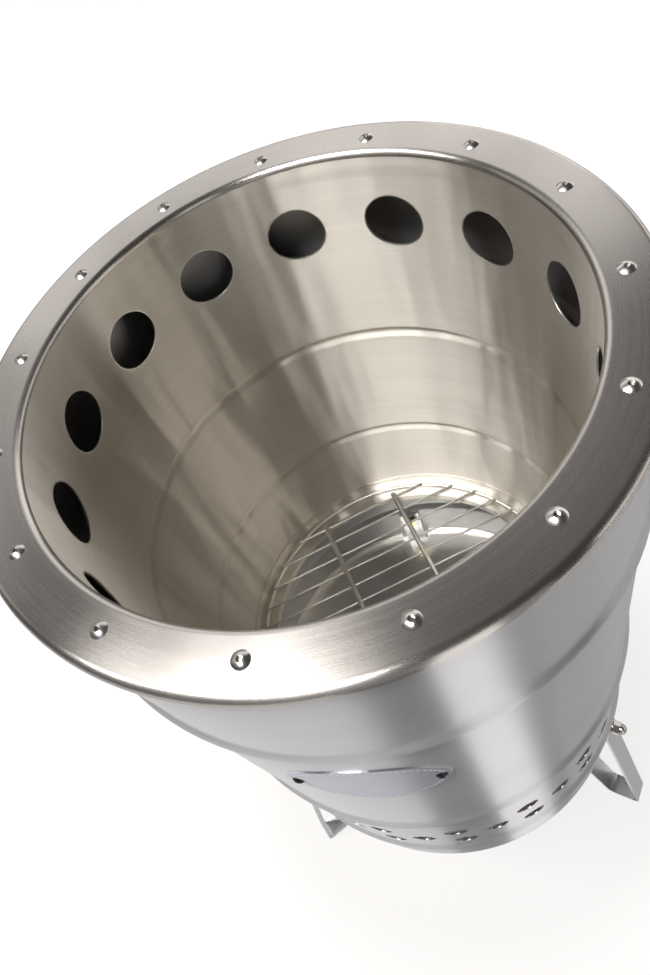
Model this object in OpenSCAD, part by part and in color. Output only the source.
// Double-walled fire barrel on three bent strip legs, with a lift-out wire grate.
// The barrel's axis is Z. The origin is on that axis, at ground level, and the front is -Y.
// Heights named "depth" are measured down from the top face of the rim.

/* [Barrel] */
// Inside diameter of the burn chamber
bore_d = 333; // [300:1:380]
// How far the liner's inside is set back from the rim's collar above it
liner_set_back = 0.7; // [0.5:0.1:2]
// Radial air gap between the liner and the outer shell
air_gap = 27.3; // [24:0.1:40]
// Height of the barrel from its bottom edge to the top face of the rim
barrel_h = 590; // [570:1:650]
// Sheet thickness of the outer shell
shell_t = 1; // [0.8:0.1:1.5]
// Sheet thickness of the liner
liner_t = 1; // [0.8:0.1:1.5]
// Width of the shell's inward flange under the rim
shell_flange_w = 22; // [20:0.5:24]
// Bend radius of the shell's top edge
shell_edge_r = 4; // [2:0.5:4.5]

/* [Rim] */
// Sheet thickness of the rim
rim_t = 1.5; // [1:0.1:2]
// Gap between the shell and the inside of the rim's outer lip
rim_gap = 2.5; // [1.5:0.1:4]
// Depth of the rim's outer lip
lip_h = 5.5; // [5:0.5:25]
// Outside radius of the rim's outer edge
rim_edge_r = 5; // [4:0.5:7]
// Outside radius of the rim's inner edge
rim_inner_r = 4; // [2.5:0.1:5]
// Depth of the rim's inner collar, whose end is welded to the liner
collar_h = 10; // [6:0.5:16]

/* [Rim rivets] */
// Number of rivets round the rim
rivet_n = 15; // [10:1:20]
// Distance of the rivet circle inside the shell's outer face
rivet_inset = 15.3; // [13:0.1:17]
// Diameter of a rivet's domed head
rivet_head_d = 9.6; // [8:0.1:11]
// Height of a rivet's domed head
rivet_head_h = 1.9; // [1:0.1:2.5]
// Diameter of a rivet's body
rivet_d = 4.8; // [4:0.1:5.2]
// Diameter of the broken mandrel's hole in the head
mandrel_d = 3.4; // [2:0.1:3.6]
// Angle of the first rivet from +X
rivet_turn = 92.3; // [80:0.1:104]

/* [Shell beads] */
// Width of a pressed bead on the shell
shell_bead_w = 17; // [12:0.5:20]
// Height of a pressed bead on the shell
shell_bead_h = 3.9; // [1.5:0.1:4]
// Depth of the top bead's centre line
shell_bead_1 = 119; // [80:1:140]
// Depth of the middle bead's centre line
shell_bead_2 = 370; // [300:1:400]
// Depth of the bottom bead's centre line
shell_bead_3 = 520; // [510:1:530]

/* [Shell vents] */
// Number of vent pairs round the shell
vent_n = 18; // [12:3:18]
// Diameter of a vent
vent_d = 22; // [14:0.5:24]
// Depth of the middle row of vents
vent_depth = 462.5; // [455:0.5:468]
// Height from the middle row of vents to the row above or below
vent_pitch = 24; // [20:0.5:28]
// Angle of the first vent pair from +X
vent_turn = -88.4; // [-95:0.1:-85]
// Turn of the upper vents against the middle row, and of the lower ones the other way
vent_skew = 0.7; // [0:0.1:2]

/* [Liner] */
// Depth of the face that the grate rests on, which is the liner's bottom edge
grate_depth = 409; // [395:1:425]
// Number of burner ports round the liner
port_n = 14; // [10:1:16]
// Diameter of a burner port
port_d = 42.5; // [30:0.5:50]
// Depth of the burner ports' centres
port_depth = 57; // [45:0.5:70]
// Width of a pressed groove in the liner
groove_w = 13.5; // [8:0.5:18]
// Depth of a pressed groove, outwards
groove_h = 2.5; // [1:0.1:4]
// Depth of the upper groove's centre line
groove_1 = 172; // [140:1:200]
// Depth of the lower groove's centre line
groove_2 = 309; // [250:1:350]

/* [Grate ledge and spacers] */
// Width of the ledge inside the bore
ledge_w = 21.5; // [16:0.5:30]
// Sheet thickness of the ledge
ledge_t = 1.5; // [1:0.1:3]
// Depth of the ledge's turned-down inner lip
ledge_lip = 8; // [4:0.5:15]
// How far the ledge stands out past the liner's outer face
ledge_out = 3; // [1:0.5:8]
// Height of a liner spacer
spacer_h = 22; // [12:1:30]
// Sheet thickness of a liner spacer
spacer_t = 1.5; // [1:0.1:2.5]
// Angle that a liner spacer's foot covers
spacer_angle = 7; // [4:0.5:12]
// Sheet thickness of the cove that rounds the corner between the liner and the ledge
cove_t = 1; // [0.8:0.1:2]
// Radial gap between the cove and the grate's ring
cove_gap = 0.7; // [0.5:0.1:2]

/* [Base] */
// Sheet thickness of the base plate
base_t = 1.2; // [0.8:0.1:3]
// Height of the base plate above the shell's bottom edge
base_rise = 3; // [0:0.5:6]
// Height of the base plate's turned-up flange
base_flange_h = 10; // [5:0.5:14]
// Clearance on each side of a leg in its notch in the base plate
notch_gap = 6; // [2:0.5:10]

/* [Grate] */
// Radial gap between the grate's ring and the bore
grate_room = 8.25; // [6:0.25:12]
// Wire diameter of the grate's ring
ring_wire_d = 4.5; // [3:0.1:6]
// Diameter of the grate's thin wires
wire_d = 2.5; // [2:0.1:4]
// How far a thin wire's ends reach past the middle of the grate's ring
wire_over = 0.5; // [0:0.1:2]
// Spacing of the grate's thin wires
wire_pitch = 19.6; // [14:0.1:26]
// Diameter of the grate's two cross bars
bar_d = 5; // [3:0.1:6]
// Spacing of the grate's two cross bars
bar_span = 83; // [60:1:120]
// How far a cross bar's ends stay inside the grate's ring
bar_inset = 11; // [4:0.5:12]
// Turn of the grate's wires from +X
grate_turn = 16; // [0:1:30]

/* [Legs] */
// Height of the barrel's bottom edge above the ground
leg_h = 230; // [200:1:280]
// Width of the strip
leg_w = 24; // [18:0.5:30]
// Thickness of the strip
leg_t = 3; // [2:0.1:5]
// How far a toe stands out past the shell
toe_reach = 53.5; // [40:0.5:80]
// Length of the flat that a toe stands on
toe_flat = 36; // [24:1:44]
// How far the inner strand bows in from the shell
heel_bow = 12; // [6:0.5:16]
// Height of the bow above the ground
heel_h = 80; // [60:1:100]
// Height of the leg's bolt above the barrel's bottom edge
bolt_h = 48; // [30:0.5:50]
// Length of strip above the bolt
leg_top = 12; // [11:0.5:16]
// Angle of the first leg from +X
leg_turn = -31; // [-40:0.5:-20]

/* [Leg bolts] */
// Bolt diameter
bolt_d = 8; // [6:0.5:10]
// Width across the flats of the bolt's head and the cap nut
hex_af = 13; // [12.5:0.5:17]
// Height of the bolt's head
bolt_head_h = 5.3; // [4:0.1:7]
// Washer diameter
washer_d = 16; // [14:0.5:22]
// Washer thickness
washer_t = 1.6; // [1:0.1:2]
// Height of the cap nut's hexagon
nut_h = 6.5; // [6:0.5:10]

/* [Badge] */
// Width of the oval badge, round the shell
badge_w = 107; // [100:1:140]
// Height of the oval badge
badge_h = 82; // [50:1:100]
// Thickness of the badge
badge_t = 1.2; // [1:0.1:3]
// Depth of the badge's centre
badge_depth = 196; // [185:0.5:215]
// Angle of the badge from +X
badge_turn = -96.2; // [-110:0.1:-80]
// Spacing of the badge's two screws, round the shell
badge_screw_span = 94; // [80:1:100]
// Diameter of a badge screw
screw_d = 4; // [3:0.5:5]
// Diameter of a badge screw's head
screw_head_d = 8.5; // [7:0.1:10]
// Height of a badge screw's head
screw_head_h = 2.4; // [1.5:0.1:3]
// Width across the flats of the head's hexagon socket
socket_af = 3; // [2:0.1:4]

/* [Hidden] */
$fn = 96;

legs = 3;
seat = 0.05;      // air between curved or flat faces that only touch
weld = 0.3;       // how far welded wires sink into each other
over = 1;         // how far a cutter reaches past what it cuts
hole_gap = 0.3;   // radial clearance of a bolt, screw or rivet in its hole
thread_gap = 0.05; // radial clearance of a thread in its nut
bead_steps = 16;
bend_steps = 8;

top = leg_h + barrel_h;
bore_r = bore_d / 2;
liner_r = bore_r + liner_set_back + liner_t;
shell_in_r = liner_r + air_gap;
shell_r = shell_in_r + shell_t;
rim_r = shell_r + rim_gap + rim_t;
rivet_r = shell_r - rivet_inset;

ledge_top = top - grate_depth;
ledge_in_r = bore_r - ledge_w;

grate_r = bore_r - grate_room - ring_wire_d / 2;
ring_z = ledge_top + seat + ring_wire_d / 2;
wire_z = ring_z + ring_wire_d / 2 + wire_d / 2 - weld;
bar_z = wire_z + wire_d / 2 + bar_d / 2 - weld;
wire_half_n = floor((grate_r - wire_pitch / 2) / wire_pitch);

base_z = leg_h + base_rise;
bolt_z = leg_h + bolt_h;
strand_top = bolt_z + leg_top;
inner_face_r = sqrt(pow(shell_in_r, 2) - pow(leg_w / 2, 2)) - seat;
inner_strand_r = inner_face_r - leg_t / 2;
outer_strand_r = shell_r + seat + leg_t / 2;
bolt_seat_r = inner_face_r - leg_t - seat;
nut_seat_r = outer_strand_r + leg_t / 2 + seat;

badge_in_r = shell_r + seat;
badge_out_r = badge_in_r + badge_t;
badge_screw_a = badge_screw_span / badge_out_r * 90 / PI;
badge_nut_h = 0.8 * screw_d;

steel = "#b9b6b2";
bright = "#d8d6d2";
dark = "#8d8a84";
yellow_zinc = "#c9b36a";

// A smooth bump of height h and width w, centred on c
function bump(z, c, w, h) = abs(z - c) < w / 2 ? h * (1 + cos(360 * (z - c) / w)) / 2 : 0;

// The heights at which a wall with bumps at the centres in cs is sampled, upwards from z0 to z1
function stations(z0, z1, cs, w) =
    concat([z0], [for (c = cs) for (i = [0 : bead_steps]) c - w / 2 + w * i / bead_steps], [z1]);

// A sheet wall of outer radius r and thickness t, with outward bumps
function wall_points(r, t, z0, z1, cs, w, h) =
    let (
        zs = stations(z0, z1, cs, w),
        n = len(zs),
        bumps = [for (z = zs) max([for (c = cs) bump(z, c, w, h)])]
    )
    concat(
        [for (i = [0 : n - 1]) [r + bumps[i], zs[i]]],
        [for (i = [n - 1 : -1 : 0]) [r - t + bumps[i], zs[i]]]
    );

// The arc of radius r that rounds the corner at b between a and c
function corner(a, b, c, r) =
    let (
        u = (a - b) / norm(a - b),
        v = (c - b) / norm(c - b),
        half = acos(u * v) / 2,
        m = b + (u + v) / norm(u + v) * (r / sin(half)),
        p = b + u * (r / tan(half)) - m,
        q = b + v * (r / tan(half)) - m,
        turn = 180 - 2 * half
    )
    [for (i = [0 : bend_steps])
        m + (sin(turn * (1 - i / bend_steps)) * p + sin(turn * i / bend_steps) * q) / sin(turn)];

// A polyline through pts whose inner corners have the radii in rs
function rounded(pts, rs) =
    concat(
        [pts[0]],
        [for (i = [1 : len(pts) - 2]) for (q = corner(pts[i - 1], pts[i], pts[i + 1], rs[i - 1])) q],
        [pts[len(pts) - 1]]
    );

// The unit normal at point i of the polyline p, lengthened so that the strip keeps its thickness
function normal_at(p, i) =
    let (
        a = i > 0 ? (p[i] - p[i - 1]) / norm(p[i] - p[i - 1]) : (p[1] - p[0]) / norm(p[1] - p[0]),
        b = i < len(p) - 1 ? (p[i + 1] - p[i]) / norm(p[i + 1] - p[i]) : a,
        s = (a + b) / norm(a + b)
    )
    [-s.y, s.x] / (s * a);

// The outline of a strip of thickness t along the polyline p
function strip_points(p, t) =
    concat(
        [for (i = [0 : len(p) - 1]) p[i] + normal_at(p, i) * t / 2],
        [for (i = [len(p) - 1 : -1 : 0]) p[i] - normal_at(p, i) * t / 2]
    );

// The centre line of a leg's strip, from its outer top end round the toe to its inner top end
function leg_path() =
    let (
        toe_r = shell_r + toe_reach - leg_t / 2,
        low = leg_t / 2
    )
    rounded(
        [
            [outer_strand_r, strand_top],
            [outer_strand_r, bolt_z - leg_top - leg_t],
            [toe_r, low],
            [toe_r - toe_flat, low],
            [inner_strand_r - heel_bow, heel_h],
            [inner_strand_r, leg_h + base_rise],
            [inner_strand_r, strand_top]
        ],
        [12, 6, 14, 60, 30]
    );

module ring(r_out, r_in, h) {
    difference() {
        cylinder(r = r_out, h = h);
        translate([0, 0, -over])
            cylinder(r = r_in, h = h + 2 * over);
    }
}

module around(n, start) {
    for (i = [0 : n - 1])
        rotate([0, 0, start + i * 360 / n])
            children();
}

// A place on the barrel's wall: local Z points outwards along the radius at height z
module on_wall(r, z) {
    translate([r, 0, z])
        rotate([0, 90, 0])
            children();
}

// A rod along the radius, from r0 to r1 at height z
module radial_rod(r0, r1, z, d) {
    on_wall(r0, z)
        cylinder(d = d, h = r1 - r0);
}

// A low dome of diameter d and height h that stands on z = 0
module dome(d, h) {
    ball = (d * d / 4 + h * h) / (2 * h);
    intersection() {
        translate([0, 0, h - ball])
            sphere(r = ball);
        cylinder(d = d + over, h = h + over);
    }
}

module hexagon(af, h) {
    cylinder(d = af / cos(30), h = h, $fn = 6);
}

// Half of the rim's section: a flat ring with a rounded lip outside and a rounded collar inside
module rim_section() {
    deep = max(lip_h, 2 * rim_edge_r, 2 * rim_inner_r) + over;
    difference() {
        union() {
            translate([bore_r, top - collar_h])
                square([rim_inner_r, collar_h - rim_inner_r]);
            translate([bore_r + rim_inner_r, top - rim_inner_r])
                circle(r = rim_inner_r);
            translate([bore_r + rim_inner_r, top - rim_edge_r])
                square([rim_r - rim_edge_r - bore_r - rim_inner_r, rim_edge_r]);
            translate([rim_r - rim_edge_r, top - rim_edge_r])
                circle(r = rim_edge_r);
            translate([rim_r - rim_edge_r, top - lip_h])
                square([rim_edge_r, lip_h - rim_edge_r]);
        }
        translate([bore_r + rim_t, top - collar_h - over])
            square([rim_inner_r + over, collar_h + over - rim_inner_r]);
        translate([bore_r + rim_inner_r, top - rim_inner_r])
            circle(r = rim_inner_r - rim_t);
        translate([bore_r + rim_inner_r, top - deep])
            square([rim_r - rim_edge_r - bore_r - rim_inner_r, deep - rim_t]);
        translate([rim_r - rim_edge_r, top - rim_edge_r])
            circle(r = rim_edge_r - rim_t);
        translate([rim_r - rim_edge_r - over, top - deep])
            square([rim_edge_r - rim_t + over, deep - rim_edge_r]);
        translate([rim_r - rim_edge_r - over, top - deep])
            square([rim_edge_r + 2 * over, deep - lip_h]);
    }
}

module rim() {
    color(steel)
        difference() {
            rotate_extrude($fn = 180)
                rim_section();
            around(rivet_n, rivet_turn)
                translate([rivet_r, 0, top - rim_t - over])
                    cylinder(d = rivet_d + 2 * hole_gap, h = rim_t + 2 * over);
        }
}

module rim_rivets() {
    grip = rim_t + shell_t;
    color(bright)
        around(rivet_n, rivet_turn)
            translate([rivet_r, 0, top])
                difference() {
                    union() {
                        dome(rivet_head_d, rivet_head_h);
                        translate([0, 0, -grip - 6])
                            cylinder(d = rivet_d, h = grip + 6 + over / 2);
                        translate([0, 0, -grip - seat - 4])
                            cylinder(d = rivet_d + 2.4, h = 4);
                    }
                    translate([0, 0, -grip])
                        cylinder(d = mandrel_d, h = grip + rivet_head_h + over);
                }
}

// The shell's top edge: an inward flange with a rounded corner
module shell_top_section() {
    z = top - rim_t - seat;
    difference() {
        union() {
            translate([shell_r - shell_flange_w, z - shell_edge_r])
                square([shell_flange_w - shell_edge_r, shell_edge_r]);
            translate([shell_r - shell_edge_r, z - shell_edge_r])
                circle(r = shell_edge_r);
            translate([shell_r - shell_edge_r, z - lip_h])
                square([shell_edge_r, lip_h - shell_edge_r]);
        }
        translate([shell_r - shell_flange_w - over, z - lip_h - over])
            square([shell_flange_w - shell_edge_r + over, lip_h + over - shell_t]);
        translate([shell_r - shell_edge_r, z - shell_edge_r])
            circle(r = shell_edge_r - shell_t);
        translate([shell_r - shell_edge_r - over, z - lip_h - over])
            square([shell_edge_r - shell_t + over, lip_h + over - shell_edge_r]);
    }
}

// A pair of vents above and below the middle row, and a single vent halfway to the next pair
module vent_cutters() {
    around(vent_n, vent_turn) {
        for (s = [-1, 1])
            rotate([0, 0, -s * vent_skew])
                radial_rod(shell_in_r - 5, shell_r + 5, top - vent_depth + s * vent_pitch, vent_d);
        rotate([0, 0, 180 / vent_n])
            radial_rod(shell_in_r - 5, shell_r + 5, top - vent_depth, vent_d);
    }
}

module shell() {
    beads = [top - shell_bead_3, top - shell_bead_2, top - shell_bead_1];
    color(steel)
        difference() {
            rotate_extrude($fn = 180) {
                polygon(wall_points(shell_r, shell_t, leg_h, top - rim_t - seat - lip_h,
                                    beads, shell_bead_w, shell_bead_h));
                shell_top_section();
            }
            vent_cutters();
            around(rivet_n, rivet_turn)
                translate([rivet_r, 0, top - rim_t - shell_t - over])
                    cylinder(d = rivet_d + 2 * hole_gap, h = shell_t + 2 * over);
            around(legs, leg_turn)
                radial_rod(shell_in_r - 5, shell_r + 5, bolt_z, bolt_d + 2 * hole_gap);
            rotate([0, 0, badge_turn])
                for (s = [-1, 1])
                    rotate([0, 0, s * badge_screw_a])
                        radial_rod(shell_in_r - 5, shell_r + 5, top - badge_depth,
                                   screw_d + 2 * hole_gap);
        }
}

module liner() {
    grooves = [top - groove_2, top - groove_1];
    color(dark)
        difference() {
            rotate_extrude($fn = 180)
                polygon(wall_points(liner_r, liner_t, ledge_top, top - collar_h,
                                    grooves, groove_w, groove_h));
            around(port_n, 90)
                radial_rod(bore_r - 5, liner_r + 5, top - port_depth, port_d);
        }
}

// Z-shaped clips that keep the liner's lower end in the middle of the shell
module liner_spacers() {
    r0 = liner_r + seat;
    r1 = shell_in_r - seat;
    z = ledge_top + 4;
    color(dark)
        around(legs, leg_turn + 60)
            rotate([0, 0, -spacer_angle / 2])
                rotate_extrude(angle = spacer_angle)
                    union() {
                        translate([r0, z])
                            square([spacer_t, spacer_h]);
                        translate([r0, z])
                            square([r1 - r0, spacer_t]);
                        translate([r1 - spacer_t, z])
                            square([spacer_t, spacer_h]);
                    }
}

// The ring that closes the liner's bottom edge and carries the grate
module grate_ledge() {
    color(dark) {
        translate([0, 0, ledge_top - ledge_t])
            ring(liner_r + ledge_out, ledge_in_r, ledge_t);
        translate([0, 0, ledge_top - ledge_lip])
            ring(ledge_in_r + ledge_t, ledge_in_r, ledge_lip);
    }
}

// A thin pressed ring that rounds the corner between the liner's wall and the ledge
module ledge_cove() {
    r_out = liner_r - liner_t - seat;
    bend = r_out - grate_r - ring_wire_d / 2 - cove_gap;
    color(dark)
        rotate_extrude($fn = 180)
            intersection() {
                difference() {
                    translate([r_out - bend, ledge_top + seat + bend])
                        circle(r = bend);
                    translate([r_out - bend, ledge_top + seat + bend])
                        circle(r = bend - cove_t);
                }
                translate([r_out - bend, ledge_top + seat])
                    square([bend, bend]);
            }
}

module base_plate() {
    rim_out = shell_in_r - seat;
    notch_in_r = inner_face_r - leg_t - notch_gap;
    color(steel)
        difference() {
            union() {
                translate([0, 0, base_z])
                    cylinder(r = rim_out, h = base_t, $fn = 180);
                translate([0, 0, base_z])
                    ring(rim_out, rim_out - base_t, base_flange_h, $fn = 180);
            }
            around(legs, leg_turn)
                translate([notch_in_r, -leg_w / 2 - notch_gap, base_z - over])
                    cube([shell_r - notch_in_r, leg_w + 2 * notch_gap, base_flange_h + 2 * over]);
        }
}

module grate_ring() {
    color(bright)
        translate([0, 0, ring_z])
            rotate_extrude($fn = 120)
                translate([grate_r, 0])
                    circle(d = ring_wire_d, $fn = 24);
}

// A straight rod through (0, y) at height z whose ends lie at radius r
module chord_rod(y, z, r, d) {
    half = sqrt(r * r - y * y);
    translate([-half, y, z])
        rotate([0, 90, 0])
            cylinder(d = d, h = 2 * half, $fn = 24);
}

module grate_wires() {
    color(bright)
        rotate([0, 0, grate_turn])
            for (i = [-wire_half_n : wire_half_n])
                chord_rod(i * wire_pitch, wire_z, grate_r + wire_over, wire_d);
}

module grate_cross_bars() {
    color(bright)
        rotate([0, 0, grate_turn + 90])
            for (s = [-1, 1])
                chord_rod(s * bar_span / 2, bar_z, grate_r - bar_inset, bar_d);
}

module leg(angle) {
    color(steel)
        rotate([0, 0, angle])
            difference() {
                translate([0, leg_w / 2, 0])
                    rotate([90, 0, 0])
                        linear_extrude(height = leg_w)
                            polygon(strip_points(leg_path(), leg_t));
                radial_rod(inner_face_r - leg_t - over, shell_r + leg_t + 2 * over, bolt_z,
                           bolt_d + 2 * hole_gap);
            }
}

module leg_right() {
    leg(leg_turn);
}

module leg_back() {
    leg(leg_turn + 120);
}

module leg_left() {
    leg(leg_turn + 240);
}

module leg_bolts() {
    head_r = bolt_seat_r - washer_t - seat;
    color(yellow_zinc)
        around(legs, leg_turn) {
            on_wall(head_r - bolt_head_h, bolt_z)
                hexagon(hex_af, bolt_head_h);
            radial_rod(head_r - over, nut_seat_r + washer_t + nut_h + 2, bolt_z, bolt_d);
        }
}

module leg_washers() {
    color(bright)
        around(legs, leg_turn)
            for (r = [bolt_seat_r - washer_t, nut_seat_r])
                difference() {
                    radial_rod(r, r + washer_t, bolt_z, washer_d);
                    radial_rod(r - over, r + washer_t + over, bolt_z, bolt_d + 2 * hole_gap);
                }
}

module leg_cap_nuts() {
    r = nut_seat_r + washer_t + seat;
    cap_d = hex_af * 0.92;
    color(bright)
        around(legs, leg_turn)
            on_wall(r, bolt_z)
                difference() {
                    union() {
                        hexagon(hex_af, nut_h);
                        translate([0, 0, nut_h - over])
                            cylinder(d = cap_d, h = 2 + over);
                        translate([0, 0, nut_h + 2])
                            dome(cap_d, cap_d * 0.42);
                    }
                    translate([0, 0, -over])
                        cylinder(d = bolt_d + 2 * thread_gap, h = nut_h + 3 + over);
                }
}

// The oval outline of the badge, as seen from outside the barrel
module badge_outline() {
    polygon([for (a = [0 : 5 : 355]) [badge_h / 2 * cos(a), badge_w / 2 * sin(a)]]);
}

module badge() {
    color(bright)
        rotate([0, 0, badge_turn])
            difference() {
                intersection() {
                    translate([0, 0, top - badge_depth - badge_h])
                        ring(badge_out_r, badge_in_r, 2 * badge_h, $fn = 180);
                    on_wall(badge_in_r / 2, top - badge_depth)
                        linear_extrude(height = badge_out_r)
                            badge_outline();
                }
                for (s = [-1, 1])
                    rotate([0, 0, s * badge_screw_a])
                        radial_rod(badge_in_r - 5, badge_out_r + 5, top - badge_depth,
                                   screw_d + 2 * hole_gap);
            }
}

module badge_screws() {
    color(dark)
        rotate([0, 0, badge_turn])
            for (s = [-1, 1])
                rotate([0, 0, s * badge_screw_a])
                    on_wall(badge_out_r + seat, top - badge_depth)
                        difference() {
                            union() {
                                dome(screw_head_d, screw_head_h);
                                translate([0, 0, shell_in_r - badge_out_r - badge_nut_h - 2])
                                    cylinder(d = screw_d,
                                             h = badge_out_r - shell_in_r + badge_nut_h + 3);
                            }
                            translate([0, 0, screw_head_h / 2])
                                hexagon(socket_af, screw_head_h);
                        }
}

module badge_nuts() {
    flat_r = sqrt(pow(shell_in_r, 2) - pow(screw_d, 2)) - seat;
    color(bright)
        rotate([0, 0, badge_turn])
            for (s = [-1, 1])
                rotate([0, 0, s * badge_screw_a])
                    on_wall(flat_r - badge_nut_h, top - badge_depth)
                        difference() {
                            hexagon(screw_d * 1.75, badge_nut_h);
                            translate([0, 0, -over])
                                cylinder(d = screw_d + 2 * thread_gap, h = badge_nut_h + 2 * over);
                        }
}

rim();
rim_rivets();
shell();
liner();
liner_spacers();
grate_ledge();
ledge_cove();
base_plate();
grate_ring();
grate_wires();
grate_cross_bars();
leg_right();
leg_back();
leg_left();
leg_bolts();
leg_washers();
leg_cap_nuts();
badge();
badge_screws();
badge_nuts();
